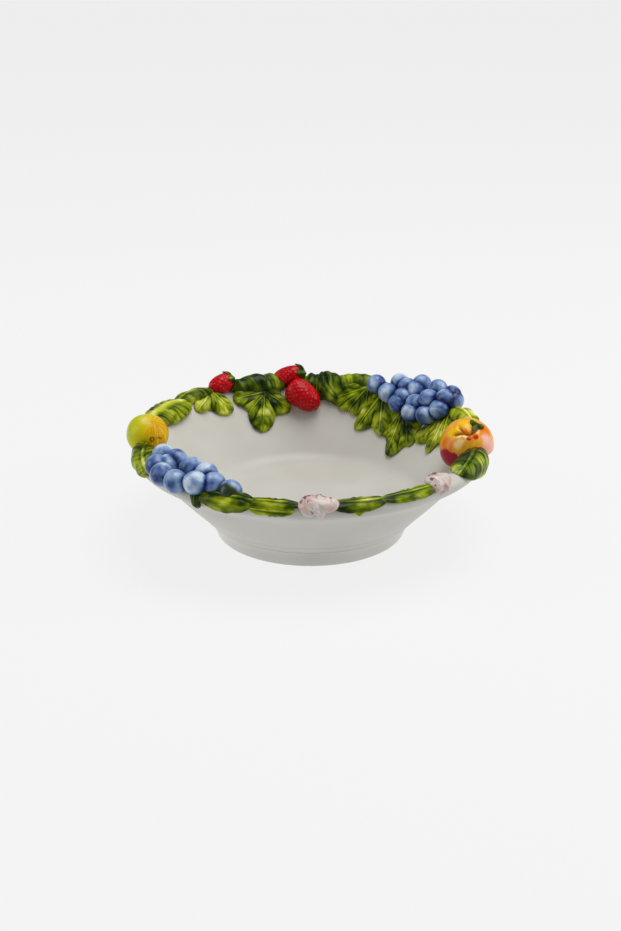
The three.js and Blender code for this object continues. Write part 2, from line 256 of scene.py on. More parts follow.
def footGlaze():  # glazed outside, wiped bare where it stands
    look = biscuitLook
    material, paint = startGlaze("biscuitFoot")
    place = paint.place()
    height = paint.node("ShaderNodeSeparateXYZ", {}, {0: place}, "Z")
    wiped = 1 - (height + paint.grain(place, 90.0, 2.0) * 1.6 * mm).between(1.0 * mm, 2.6 * mm)
    cloud = paint.grain(place, 18.0, 3.0)
    glazed = paint.blend(cloud.between(0.3, 0.75), (*whiteGlazeLook["clean"], 1), (*whiteGlazeLook["thin"], 1))
    grit = paint.grain(place, 240.0, 4.0)
    bare = paint.blend(grit.between(0.35, 0.75), (*look["pale"], 1), (*look["worn"], 1))
    colour = paint.blend(wiped, glazed, bare)
    finishGlaze(paint, colour, wiped * 0.4 + 0.28, cloud * 0.5 + wiped * paint.grain(place, 600.0) * 0.4,
                0.4 * mm, look["gloss"])
    return material


leafLooks = {
    "leaf_pale": [(0.0, tone(32, 48, 0)), (0.2, tone(68, 86, 4)), (0.4, tone(112, 126, 10)),
                  (0.6, tone(150, 160, 22)), (0.8, tone(184, 190, 58)), (1.0, tone(216, 216, 136))],
    "leaf_mid": [(0.0, tone(22, 38, 0)), (0.2, tone(50, 68, 2)), (0.4, tone(88, 104, 4)),
                 (0.6, tone(126, 140, 12)), (0.8, tone(164, 172, 42)), (1.0, tone(204, 206, 120))],
    "leaf_dark": [(0.0, tone(12, 26, 0)), (0.2, tone(28, 46, 2)), (0.4, tone(56, 76, 4)),
                  (0.6, tone(96, 114, 14)), (0.8, tone(144, 156, 42)), (1.0, tone(196, 202, 124))],
}
leafGloss = {"IOR": 1.45, "Specular IOR Level": 0.1, "Coat Weight": 0.05, "Coat Roughness": 0.04}


def leafGlaze(slot):  # dark glaze pools in the grooves and breaks pale over ribs and crests
    material, paint = startGlaze(slot)
    place = paint.place()
    strokes = paint.grain(paint.layer("brush", "Vector"), 1.0, 3.0, 0.55)
    cloud = paint.grain(place, 60.0, 2.0)
    # value also carries each leaf's painted shade and painted highlights
    value = paint.layer("value") + (strokes - 0.5) * 0.9 + (cloud - 0.5) * 1.3 - 0.02
    colour = paint.ramp(value, leafLooks[slot])
    height = strokes * 0.6 + paint.grain(place, 420.0, 2.0) * 0.1
    finishGlaze(paint, colour, cloud * 0.14 + 0.16, height, 0.5 * mm, leafGloss)
    return material


grapeLook = {
    "stops": [(0.0, tone(18, 36, 88)), (0.25, tone(50, 78, 134)), (0.5, tone(92, 120, 166)),
              (0.75, tone(130, 154, 188)), (1.0, tone(180, 196, 212))],
    "leafy": tone(34, 48, 20),
    "gloss": {"IOR": 1.45, "Specular IOR Level": 0.4, "Coat Weight": 0.06, "Coat Roughness": 0.15},
}


def grapeGlaze():
    material, paint = startGlaze("grapeBlue")
    place = paint.place()
    strokes = paint.grain(paint.stretched(paint.layer("brush", "Vector"), (1.0, 0.22, 1.0)), 0.42, 3.0, 0.6)
    patch = paint.grain(place, 70.0, 1.5)
    # painted light: paler on each berry's upper side
    value = (0.44 + (strokes - 0.5) * 1.3 + (patch - 0.5) * 2.2 + paint.layer("bloom") * 0.24
             - paint.layer("crease") * 0.5)
    colour = paint.ramp(value, grapeLook["stops"])
    colour = paint.blend(paint.layer("leafy"), colour, (*grapeLook["leafy"], 1))
    finishGlaze(paint, colour, patch * 0.14 + 0.28, strokes, 0.35 * mm, grapeLook["gloss"])
    return material


strawberryLook = {
    "stops": [(0.0, tone(108, 0, 6)), (0.4, tone(158, 0, 10)), (0.75, tone(190, 2, 18)),
              (1.0, tone(220, 48, 54))],
    "seed": tone(222, 110, 96),
    "gloss": {"IOR": 1.45, "Specular IOR Level": 0.15, "Coat Weight": 0.06, "Coat Roughness": 0.06},
}


def strawberryGlaze():
    material, paint = startGlaze("strawberryRed")
    place = paint.place()
    cloud = paint.grain(place, 120.0, 3.0)
    nicks = paint.grain(place, 330.0, 2.0, 0.6)
    value = 0.6 + (cloud - 0.5) * 0.7 + (nicks - 0.5) * 0.5 - paint.layer("dimple") * 0.3
    # the seeds are painted pale pink, partly as seed colour and partly as painted highlights on their raised bumps
    seeds = paint.layer("seed") * paint.grain(place, 210.0, 1.0).between(0.4, 0.6) * 0.8
    colour = paint.blend(seeds, paint.ramp(value, strawberryLook["stops"]), (*strawberryLook["seed"], 1))
    finishGlaze(paint, colour, cloud * 0.1 + 0.2, nicks, 0.6 * mm, strawberryLook["gloss"])
    return material


quinceLook = {
    "yellow": tone(218, 190, 10), "lemon": tone(176, 180, 10), "amber": tone(196, 126, 6),
    "brown": tone(44, 34, 6), "shine": tone(236, 226, 150),
    "gloss": {"IOR": 1.45, "Specular IOR Level": 0.15, "Coat Weight": 0.07, "Coat Roughness": 0.06},
}


def quinceGlaze():
    look = quinceLook
    material, paint = startGlaze("quinceYellow")
    streaks = paint.grain(paint.stretched(paint.layer("brush", "Vector"), (1.0, 1.0, 0.2)), 12.0, 4.0, 0.6)
    cloud = paint.grain(paint.place(), 70.0, 2.0)
    colour = paint.blend(paint.layer("green"), (*look["yellow"], 1), (*look["lemon"], 1))
    colour = paint.blend(streaks.between(0.4, 0.56) * paint.layer("amber"), colour, (*look["amber"], 1))
    colour = paint.blend(paint.layer("shine"), colour, (*look["shine"], 1))
    colour = paint.blend(paint.layer("eye"), colour, (*look["brown"], 1))
    finishGlaze(paint, colour, cloud * 0.1 + 0.18, streaks, 0.35 * mm, look["gloss"])
    return material


peachLook = {
    "base": tone(216, 146, 44), "yellow": tone(226, 178, 14), "orange": tone(214, 116, 20),
    "cream": tone(234, 196, 132), "pink": tone(226, 166, 148), "crimson": tone(150, 18, 44),
    # fold is painted shade in the creases; lip is a painted highlight on the ridge below them
    "spot": tone(182, 34, 18), "fold": tone(160, 84, 10), "lip": tone(246, 216, 150),
    "gloss": {"IOR": 1.45, "Specular IOR Level": 0.2, "Coat Weight": 0.07, "Coat Roughness": 0.06},
}


def peachGlaze():
    look = peachLook
    material, paint = startGlaze("peachOrange")
    strokes = paint.grain(paint.stretched(paint.layer("brush", "Vector"), (1.0, 1.0, 0.3)), 6.0, 4.0, 0.6)
    wander = (strokes - 0.5) * 0.7
    colour = paint.blend(strokes.between(0.42, 0.66), (*look["base"], 1), (*look["yellow"], 1))
    for name, low, high in (("orange", 0.25, 0.85), ("yellow", 0.25, 0.8), ("cream", 0.25, 0.85),
                            ("pink", 0.25, 0.85),
                            ("crimson", 0.35, 0.6), ("fold", 0.3, 0.95), ("lip", 0.3, 0.95),
                            ("spot", 0.35, 0.8)):
        colour = paint.blend((paint.layer(name) + wander).between(low, high), colour, (*look[name], 1))
    finishGlaze(paint, colour, paint.grain(paint.place(), 90.0) * 0.1 + 0.18, strokes, 0.3 * mm, look["gloss"])
    return material


blossomLook = {
    "petal": tone(198, 188, 182), "blush": tone(190, 162, 154), "edge": tone(136, 92, 88),
    "heart": tone(108, 68, 80),
    "gloss": {"IOR": 1.45, "Specular IOR Level": 0.3, "Coat Weight": 0.1, "Coat Roughness": 0.06},
}


def blossomGlaze():
    look = blossomLook
    material, paint = startGlaze("blossomPink")
    place = paint.place()
    dabs = paint.grain(place, 380.0, 3.0, 0.6)
    wash = paint.grain(place, 80.0, 2.0)
    colour = paint.blend(wash.between(0.4, 0.7), (*look["petal"], 1), (*look["blush"], 1))
    # mauve edge paint mixed with painted shade in the petal grooves
    smudge = (paint.layer("petalEdge") * 1.3 + (dabs - 0.5) * 1.5).between(0.35, 0.95)
    colour = paint.blend(smudge * 0.8, colour, (*look["edge"], 1))
    colour = paint.blend((paint.layer("heart") + (dabs - 0.5) * 1.6).between(0.35, 0.8), colour,
                         (*look["heart"], 1))
    finishGlaze(paint, colour, wash * 0.1 + 0.18, dabs, 0.35 * mm, look["gloss"])
    return material


glazes = {"white_glaze": whiteGlaze(), "biscuit_foot": footGlaze(), "grape_blue": grapeGlaze(),
          "strawberry_red": strawberryGlaze(), "quince_yellow": quinceGlaze(), "peach_orange": peachGlaze(),
          "blossom_pink": blossomGlaze()}
for slot in leafLooks:
    glazes[slot] = leafGlaze(slot)
print("glazes mixed:", len(glazes))


# the rim's section in millimetres: wall, leaning back, round roll
rim = {"wall": 8.5, "belly": (107.5, 29.5), "neck": (142.0, 68.5), "rollCentre": (151.0, 81.3),
       "rollRadius": 8.0, "rollRoot": 20.0, "cornerSoft": 7.0}
roll = rim["rollRadius"]
neck = Vector(rim["neck"])
rollCentre = Vector(rim["rollCentre"])
wallRun = (neck - Vector(rim["belly"])).normalized()
wallFace = Vector((-wallRun.y, wallRun.x))
backFoot = neck + wallFace * rim["wall"] - wallRun * rim["rollRoot"]
toRoll = rollCentre - backFoot
backLength = math.sqrt(toRoll.length_squared - roll ** 2)
backAngle = math.atan2(toRoll.y, toRoll.x) + math.asin(roll / toRoll.length)
backRun = Vector((math.cos(backAngle), math.sin(backAngle)))
rollInside = backAngle * roll
underLip = rollCentre - neck
underAngle = math.atan2(underLip.y, underLip.x) - math.asin(roll / underLip.length)
wallAngle = math.atan2(wallRun.y, wallRun.x)


def sectionPoint(across, lift):  # across runs outwards from the roll's top, lift stands off the section
    turn = math.pi / 2 - across / roll
    down = -across - rollInside
    onRoll = across > -rollInside
    run = np.where(down < backLength, backAngle, wallAngle)
    soft = ease(-rim["cornerSoft"], rim["cornerSoft"], down - backLength)
    face = backAngle + (wallAngle - backAngle) * soft + math.pi / 2
    radius = np.where(onRoll, rollCentre.x + np.cos(turn) * (roll + lift),
                      backFoot.x + np.cos(run) * (backLength - down) + np.cos(face) * lift)
    height = np.where(onRoll, rollCentre.y + np.sin(turn) * (roll + lift),
                      backFoot.y + np.sin(run) * (backLength - down) + np.sin(face) * lift)
    return radius, height


def layOnRim(bearing, along, across, lift):
    radius, height = sectionPoint(across, lift)
    turn = math.radians(bearing) + along / sectionPoint(across, 0.0)[0]
    return np.column_stack((radius * np.cos(turn), radius * np.sin(turn), height)) * mm


def rimFrame(sprig):  # X outwards across the rim, Y along it, Z straight off it
    def spotAt(lift):
        return Vector(layOnRim(sprig["bearing"], np.zeros(1), np.array([float(sprig["across"])]), lift)[0])
    turn = math.radians(sprig["bearing"])
    spot = spotAt(sprig["lift"])
    off = (spotAt(sprig["lift"] + roll) - spot).normalized()
    along = Vector((-math.sin(turn), math.cos(turn), 0))
    out = along.cross(off)
    return Matrix.Translation(spot) @ Matrix((out, along, off)).transposed().to_4x4()


def arcPoints(centre, radius, start, stop, count):
    turns = [start + (stop - start) * i / count for i in range(count + 1)]
    return [(centre.x + radius * math.cos(t), centre.y + radius * math.sin(t)) for t in turns]


def bendPoints(first, middle, last, count):
    shares = [i / count for i in range(count + 1)]
    return [tuple(first * (1 - s) ** 2 + middle * 2 * s * (1 - s) + last * s * s) for s in shares]


foot = {"radius": 85.0, "topRadius": 91.8, "height": 17.0, "width": 14.0, "edge": 2.5, "blend": 10.0}
inner = foot["radius"] - foot["width"]
footTop = Vector((foot["topRadius"], foot["height"]))
footRun = (footTop - Vector((foot["radius"], 0))).normalized()
bellyRun = (Vector(rim["belly"]) - footTop).normalized()
blend = bendPoints(footTop - footRun * foot["blend"], footTop, footTop + bellyRun * foot["blend"], 12)
joint = (float(np.interp(foot["height"], [h for _, h in blend], [r for r, _ in blend])), foot["height"])
lowBlend = [spot for spot in blend if spot[1] < foot["height"] - 0.2]
footRing = turnProfile("footRing", [
    (inner, foot["height"]), (inner, 0), (foot["radius"], 0), *lowBlend, joint, (inner, foot["height"])], 192)
for corner in ((inner, 0), (foot["radius"], 0)):
    roundRing(footRing, corner, foot["edge"], 5)
settle(footRing, "foot_ring", glazes["biscuit_foot"])
print("foot ring turned")

body = {"floor": 29.5, "fillet": 22.0, "steps": 192, "neckSoft": 12.0}
wallLow = backFoot + wallRun * ((body["floor"] - backFoot.y) / wallRun.y)
filletCentre = Vector((wallLow.x - body["fillet"] * math.tan(wallAngle / 2), body["floor"] + body["fillet"]))
neckSoft = body["neckSoft"]
lipRun = Vector((math.cos(underAngle), math.sin(underAngle)))
belly = bendPoints(footTop, Vector(rim["belly"]), neck, 30)
profile = [(0, foot["height"]), (40, foot["height"])]
profile += [joint] + [spot for spot in blend if spot[1] > foot["height"] + 0.2]
profile += [spot for spot in belly
            if spot[1] > blend[-1][1] + 0.5 and (Vector(spot) - neck).length > neckSoft + 0.5]
profile += bendPoints(neck - wallRun * neckSoft, neck, neck + lipRun * neckSoft, 14)
profile += arcPoints(rollCentre, roll, underAngle - math.pi / 2, backAngle + math.pi / 2, 30)
profile += [tuple(backFoot)]
profile += arcPoints(filletCentre, body["fillet"], wallAngle - math.pi / 2, -math.pi / 2, 12)
profile += [(60, body["floor"]), (30, body["floor"]), (0, body["floor"])]
bowl = turnProfile("bowlBody", profile, body["steps"])
roundRing(bowl, tuple(backFoot), 8.0, 5)
settle(bowl, "bowl_body", glazes["white_glaze"])
print("body turned")

# leaves: outline and place as pressed on the rim, then ribs, painted shade spots and painted highlight spots as
# (u, v, width, amount)
leafStyle = {"rise": 4.5, "edge": 1.6, "root": 4.0, "spacing": 9.0, "slant": 0.9, "ribWidth": 1.0,
             "ribHeight": 0.7, "ribLight": 0.26, "bulge": 0.8, "valley": 0.6, "fold": 0.3, "lineDark": 0.16,
             "lineWidth": 0.7, "tooth": 0.25, "ruffle": 0.5, "seam": 1.1, "long": False, "value": 0.54,
             "shadeSpots": [], "lights": [], "segments": 208, "rings": 80}
leaves = {
    "leaf_under_quince": {
        "slot": "leaf_mid", "bearing": -161, "across": 3, "turn": 10, "length": 60, "width": 26,
        "lobes": [(180, 4, 40)], "rise": 6, "ribs": [((30, 0), (-32, -1))], "value": 0.52,
        "shadeSpots": [(-14, -2, 9, 0.45), (6, -3, 5, 0.3)], "lights": [(14, 6, 7, 0.15)]},
    "leaf_oval_left": {
        "slot": "leaf_pale", "bearing": 154.5, "across": -1, "turn": 6, "length": 64, "width": 29,
        "lobes": [(0, 4, 40)], "rise": 10, "ribs": [((33, -2), (-30, 2))], "ribWidth": 2.2, "ribHeight": 2.0,
        "valley": 1.6, "ribLight": 0.26, "slant": 1.3, "fold": 0.5, "lineDark": 0.34, "lineWidth": 0.8,
        "value": 0.6, "shadeSpots": [(-33, -7, 8, 0.3), (10, -12, 12, 0.1)], "lights": [(0, 12, 9, 0.12)]},
    "leaf_narrow_back": {
        "slot": "leaf_mid", "bearing": 136, "across": 4, "turn": 0, "length": 50, "width": 20,
        "lobes": [(0, 3, 40)], "rise": 11, "ribs": [((26, -2), (-26, -2))], "valley": 2.0, "value": 0.62,
        "lineDark": 0.1, "shadeSpots": [(-6, -8, 12, 0.45), (24, -5, 8, 0.4)], "lights": [(0, 6, 8, 0.15)]},
    "leaf_forked": {
        "slot": "leaf_pale", "bearing": 132.5, "across": -7, "turn": 0, "length": 26, "width": 20,
        "lobes": [(-14, 8.5, 48), (-140, 14, 70)], "rise": 6,
        "ribs": [((-4, 6), (20, -6)), ((-6, 5), (-16, -14))], "spacing": 8.0, "tooth": 0.4, "value": 0.62,
        "lineDark": 0.3, "shadeSpots": [(2, -6, 4, 0.5), (-18, -15, 5, 0.4), (11, 8, 5, 0.35)],
        "lights": [(-9, -6, 6, 0.15)]},
    "leaf_upper_back": {
        "slot": "leaf_dark", "bearing": 109.5, "across": 2, "turn": 0, "length": 66, "width": 26,
        "lobes": [(30, 3, 30), (150, 3, 30)], "rise": 13, "ribs": [((30, 3), (-32, 1))], "valley": 3.2,
        "bulge": 1.4, "fold": 0.9, "spacing": 12.0, "value": 0.5,
        "shadeSpots": [(6, -9, 14, 0.3), (28, 0, 9, 0.4)], "lights": [(-18, 6, 9, 0.4)]},
    "leaf_three_lobed": {
        "slot": "leaf_mid", "bearing": 110.5, "across": -15, "turn": 0, "length": 38, "width": 38,
        "lobes": [(10, 10, 42), (-80, 16, 54), (-152, 12, 40), (120, 10, 75)], "rise": 7,
        "ribs": [((-4, 5), (7, -33)), ((-6, 3), (-27, -14)), ((-2, 4), (28, 2)), ((0, 0), (15, -12))],
        "ribWidth": 0.8, "tooth": 0.6, "seam": 1.6, "value": 0.54, "lineDark": 0.22,
        "shadeSpots": [(-4, 8, 9, 0.5), (-14, 14, 11, 0.35), (-13, -10, 5, 0.45), (5, -9, 3.5, 0.4),
                  (17, -27, 6, 0.3)],
        "lights": [(-3, -16, 4, 0.25), (18, -2, 7, 0.15), (-22, -8, 6, 0.15)]},
    "leaf_ridge_back": {
        "slot": "leaf_mid", "bearing": 71, "across": 4, "turn": 0, "length": 56, "width": 20,
        "lobes": [(180, 4, 40)], "rise": 12, "ribs": [((27, 2), (-31, 2))], "valley": 1.6, "fold": 0.6,
        "value": 0.52, "shadeSpots": [(0, -8, 14, 0.3)], "lights": [(4, 7, 12, 0.3)]},
    "leaf_dark_back": {
        "slot": "leaf_dark", "bearing": 84, "across": -3, "turn": 0, "length": 50, "width": 32,
        "lobes": [(-60, 3, 30), (-118, 5, 34)], "rise": 12,
        "ribs": [((10, 13), (-24, 2)), ((10, 13), (8, -19))], "value": 0.46, "valley": 2.2, "bulge": 1.4,
        "fold": 0.6, "shadeSpots": [(14, 4, 9, 0.25)], "lights": [(-8, -12, 7, 0.25)]},
    "leaf_middle_back": {
        "slot": "leaf_mid", "bearing": 71.5, "across": -14, "turn": 0, "length": 42, "width": 32,
        "lobes": [(-14, 5, 26), (-50, 2, 24), (-101, 3.5, 30), (70, 4, 40)], "rise": 7,
        "ribs": [((-12, 10), (22, -6)), ((-12, 10), (7, -20)), ((-12, 10), (-14, -14))], "tooth": 0.6,
        "bulge": 1.1, "seam": 1.6, "value": 0.5, "shadeSpots": [(12, 8, 8, 0.35), (0, -10, 5, 0.35)],
        "lights": [(6, 2, 6, 0.2)]},
    "vine_leaf_left": {
        "slot": "leaf_mid", "bearing": 60, "across": -24, "turn": 0, "length": 38, "width": 38,
        "lobes": [(-51, 10, 36), (-117, 9, 32), (80, 8, 50)],
        "ribs": [((2, 16), (17, -24)), ((0, 16), (-9, -24))], "tooth": 0.4, "bulge": 1.2, "seam": 1.8,
        "value": 0.52, "lineDark": 0.18, "shadeSpots": [(5, -16, 4, 0.4), (-8, 12, 9, 0.4)],
        "lights": [(14, -10, 6, 0.15), (-5, -8, 6, 0.12)]},
    "vine_leaf_middle": {
        "slot": "leaf_mid", "bearing": 44.5, "across": -28, "turn": 0, "length": 36, "width": 42,
        "lobes": [(-87, 18, 34), (-130, 8, 34), (-46, 8, 32)],
        "ribs": [((10, 14), (4, -38)), ((6, 10), (-14, -22)), ((10, 12), (19, -14))], "tooth": 0.5, "bulge": 1.2,
        "seam": 1.6, "value": 0.54, "lineDark": 0.2,
        "shadeSpots": [(0, 16, 15, 0.5), (-7, -8, 5, 0.45), (4, -37, 4, 0.35)], "lights": [(11, -14, 7, 0.18)]},
    "vine_leaf_right": {
        "slot": "leaf_pale", "bearing": 25, "across": -20, "turn": 0, "length": 48, "width": 34,
        "lobes": [(-98, 10.5, 28), (-48, 12, 40)],
        "ribs": [((3, 18), (-7, -27)), ((6, 16), (20, -20)), ((2, 16), (-18, -14))], "tooth": 0.8,
        "spacing": 7.0, "value": 0.52, "lineDark": 0.2,
        "shadeSpots": [(16, 8, 10, 0.5), (20, -8, 5, 0.35), (4, 14, 9, 0.3)],
        "lights": [(-5, -10, 9, 0.18)]},
    "leaf_small_right": {
        "slot": "leaf_pale", "bearing": 19, "across": 0, "turn": 180, "length": 42, "width": 18,
        "lobes": [(0, 4, 40)], "rise": 9, "ribs": [((-20, 0), (24, 0))], "lineDark": 0.15,
        "lights": [(0, -4, 8, 0.15)]},
    "leaf_slender_front": {
        "slot": "leaf_mid", "bearing": -58, "across": 5, "turn": 0, "length": 56, "width": 11,
        "lobes": [(0, 3, 40)], "rise": 2.8, "ribs": [((-27, -2), (30, -2))], "fold": 0.0, "lineDark": 0.0,
        "long": True, "bulge": 0.4, "ribHeight": 0.5, "value": 0.5,
        "shadeSpots": [(26, 1, 7, 0.3), (0, -7, 5, 0.3), (-14, -4, 5, 0.25)]},
    "leaf_drooping_front": {
        "slot": "leaf_mid", "bearing": -75.5, "across": 6, "turn": 180, "length": 48, "width": 13,
        "lobes": [(-90, 2, 50)], "rise": 3, "ribs": [((-23, 2), (23, 2))], "fold": 0.0, "lineDark": 0.0,
        "long": True, "ribHeight": 0.4, "value": 0.42,
        "shadeSpots": [(14, 2, 8, 0.35), (-20, -2, 6, 0.25), (0, 5, 5, 0.25)],
        "lights": [(-2, -5, 10, 0.12)]},
    "leaf_under_front": {
        "slot": "leaf_mid", "bearing": -101, "across": 10, "turn": 0, "length": 34, "width": 9,
        "lobes": [(180, 3, 40)], "rise": 3, "ribs": [((16, 0), (-20, 0))], "fold": 0.0, "lineDark": 0.0,
        "long": True, "ribHeight": 0.3, "bulge": 0.3, "value": 0.56},
    "leaf_front": {
        "slot": "leaf_mid", "bearing": -101, "across": 5, "turn": 0, "length": 44, "width": 11,
        "lobes": [(180, 3, 40)], "rise": 3, "ribs": [((21, -2), (-25, -2))], "fold": 0.0, "lineDark": 0.0,
        "long": True, "ribHeight": 0.4, "bulge": 0.4, "value": 0.52,
        "shadeSpots": [(20, 0, 6, 0.4), (-22, 1, 6, 0.35), (0, -5, 4, 0.2)]},
    "leaf_left_front": {
        "slot": "leaf_mid", "bearing": -117, "across": 6, "turn": 180, "length": 54, "width": 21,
        "lobes": [(-90, 1, 50)], "ribs": [((-25, 2), (26, 2))], "fold": 0.0, "lineDark": 0.0, "long": True,
        "ribHeight": 0.5, "value": 0.42, "shadeSpots": [(9, 1, 9, 0.35), (-18, 1, 7, 0.3)],
        "lights": [(-4, -9, 9, 0.25)]},
    "leaf_curled_tip": {
        "slot": "leaf_dark", "bearing": -126.5, "across": 8, "turn": 90, "length": 19, "width": 11,
        "lobes": [(0, 3, 40)], "ribs": [((-9, 0), (12, 0))], "fold": 0.0, "lineDark": 0.0, "long": True,
        "value": 0.4, "segments": 112, "rings": 48},
    "peach_leaf": {
        "slot": "leaf_dark", "bearing": -23.5, "across": 2.5, "turn": 0, "length": 58, "width": 28,
        "lobes": [(180, 4, 40)], "rise": 8, "ribs": [((27, -4), (-33, 1))], "ribWidth": 0.9, "spacing": 7.0,
        "slant": 1.0, "fold": 0.35, "lineDark": 0.14, "ribHeight": 0.9, "value": 0.66,
        "shadeSpots": [(2, -9, 8, 0.6), (-15, -9, 9, 0.65), (17, -9, 8, 0.5), (26, -2, 8, 0.4), (-30, 6, 6, 0.3)],
        "lights": [(4, 6, 9, 0.15)]},
}


def outlineReach(sprig, angle):
    reach = 1 / np.hypot(np.cos(angle) / (sprig["length"] / 2), np.sin(angle) / (sprig["width"] / 2))
    for aim, extra, spread in sprig["lobes"]:
        off = angle - math.radians(aim)
        off = np.arctan2(np.sin(off), np.cos(off)) / math.radians(spread)
        reach = reach + np.where(np.abs(off) < 1, extra * np.cos(np.clip(off, -1, 1) * math.pi / 2) ** 2, 0)
    return reach


def ribField(sprig, u, v):  # how far along the nearest rib, how far to its side, how far to the next rib
    gaps, runs, sides, lengths = [], [], [], []
    for (startU, startV), (endU, endV) in sprig["ribs"]:
        length = math.hypot(endU - startU, endV - startV)
        dirU, dirV = (endU - startU) / length, (endV - startV) / length
        run = (u - startU) * dirU + (v - startV) * dirV
        side = (v - startV) * dirU - (u - startU) * dirV
        gaps.append(np.hypot(side, np.maximum(0, np.maximum(-run, run - length))))
        runs.append(run)
        sides.append(side)
        lengths.append(np.full_like(run, length))
    order = np.argsort(np.stack(gaps), axis=0)
    nearest = order[:1]
    pick = [np.take_along_axis(np.stack(rows), nearest, axis=0)[0] for rows in (gaps, runs, sides, lengths)]
    if len(gaps) > 1:
        between = np.take_along_axis(np.stack(gaps), order[1:2], axis=0)[0] - pick[0]
    else:
        between = np.full_like(pick[0], 99.0)
    return (*pick, between)


def pressLeaf(node, sprig):
    sprig = {**leafStyle, **sprig}
    leaf = startBall(node + "_glazed", sprig["segments"], sprig["rings"])
    ball = readPoints(leaf)
    up = ball[:, 2]
    share = np.hypot(ball[:, 0], ball[:, 1])
    angle = np.arctan2(-ball[:, 1], ball[:, 0])
    spacing = sprig["spacing"]

    def veins(u, v):
        gap, run, side, length, between = ribField(sprig, u, v)
        wander = 0.9 * np.sin(0.33 * side + sprig["bearing"]) + 0.7 * np.sin(0.17 * run + 2 * sprig["bearing"])
        phase = (run - np.abs(side) * sprig["slant"] + wander) / spacing
        return gap, run, side, length, between, phase

    edge = outlineReach(sprig, angle)
    edgePhase = veins(edge * np.cos(angle), edge * np.sin(angle))[5]
    scallop = np.abs(np.sin(math.pi * edgePhase)) - 0.6  # a rounded tooth between veins
    reach = (edge + sprig["tooth"] * scallop * share ** 4) * share
    u, v = reach * np.cos(angle), reach * np.sin(angle)
    gap, run, side, length, between, phase = veins(u, v)
    taper = sprig["ribWidth"] * (1 - 0.6 * np.clip(run / length, 0, 1))
    ribs = bell(gap, taper)
    beside = bell(gap - 1.9 * taper, 0.8 * taper)
    field = ease(1.2, 3.2, gap) * (1 - ease(0.8, 0.98, share))
    line = bell(np.abs(phase - np.floor(phase) - 0.5) * spacing, sprig["lineWidth"]) * field
    wave = 0.5 - 0.5 * np.cos(2 * math.pi * phase)
    seam = bell(between, 1.8) * ease(2.0, 7.0, gap)
    dents = np.sin(0.31 * u + sprig["bearing"]) * np.sin(0.37 * v + 2 * sprig["bearing"])
    relief = (sprig["ribHeight"] * ribs - 0.3 * beside + sprig["fold"] * (0.5 - wave) * field + 0.7 * dents * field
              + sprig["bulge"] * bell(gap - 6, 3.5) - sprig["valley"] * bell(gap, 3.5)
              - sprig["seam"] * seam) * (1 - share ** 8)
    curl = sprig["ruffle"] * np.sin(7 * angle + sprig["bearing"]) * share ** 5
    top = sprig["edge"] + (sprig["rise"] - sprig["edge"]) * up + relief + curl
    below = sprig["edge"] + (sprig["root"] + sprig["edge"]) * up + curl
    turn = math.radians(sprig["turn"])
    along = u * math.cos(turn) - v * math.sin(turn)
    out = sprig["across"] + u * math.sin(turn) + v * math.cos(turn)
    writePoints(leaf, layOnRim(sprig["bearing"], along, out, np.where(up > 0, top, below)))
    # the last term is painted shade, darker on the leaf's underside below its edge
    value = (sprig["value"] + sprig["ribLight"] * ribs - 0.22 * beside - sprig["lineDark"] * line - 0.3 * seam
             + 0.1 * (0.5 - wave) * field - 0.12 * dents - 0.1 * ease(0.2, 0.8, -up))
    # painted shade where each leaf runs under its neighbours, and painted highlights on its lit parts
    for spotU, spotV, width, amount in sprig["shadeSpots"]:
        value -= amount * bell(np.hypot(u - spotU, v - spotV), width)
    for spotU, spotV, width, amount in sprig["lights"]:
        value += amount * bell(np.hypot(u - spotU, v - spotV), width)
    (stalkU, stalkV), _ = sprig["ribs"][0]
    if len(sprig["ribs"]) > 1:  # strokes fan out from the stalk
        stroke = (np.arctan2(v - stalkV, u - stalkU) * 7, 0.1 * np.hypot(u - stalkU, v - stalkV))
    elif sprig["long"]:  # strokes run the length of the leaf
        stroke = (0.45 * side, 0.05 * run)
    else:  # strokes follow the veins
        stroke = (0.3 * phase * spacing, 0.1 * side)
    writeLayer(leaf, "value", value)
    writeLayer(leaf, "brush", np.column_stack((*stroke, np.full_like(u, sprig["bearing"]))))
    settle(leaf, node, glazes[sprig["slot"]])


for node, sprig in leaves.items():
    pressLeaf(node, sprig)
print("leaves pressed:", len(leaves))

blossoms = {
    "blossom_front": {"bearing": -88, "across": 5.5, "length": 31, "width": 13, "petals": 5, "petal": 2.5,
                      "rise": 7.5, "edge": 2.5, "root": 4.0, "spin": 0.3,
                      "dabs": [(-10, -3.5, 2.2, 1.0), (-6.5, -4.5, 1.8, 1.0), (-7.5, -0.5, 1.3, 0.9),
                               (-13, -1, 1.5, 0.9),
                               (0, -5, 1.6, 0.8), (4, -5, 1.6, 0.7), (11, -3, 1.4, 0.8), (-4, 4.5, 2.0, 0.55)]},
    "blossom_right": {"bearing": -45.5, "across": 2.5, "length": 22, "width": 14, "petals": 5, "petal": 2.5,
                      "rise": 7.5, "edge": 2.5, "root": 4.0, "spin": 0.9,
                      "dabs": [(1, -4.5, 2.4, 1.0), (4, -5, 2.0, 1.0), (-4, -3.5, 2.0, 1.0),
                               (-8, -1.5, 1.6, 0.9),
                               (-6, 2, 1.2, 0.8), (-3, 5, 1.2, 0.6), (7, -3, 1.2, 0.7), (-9.5, 3, 1.3, 0.7)]},
}


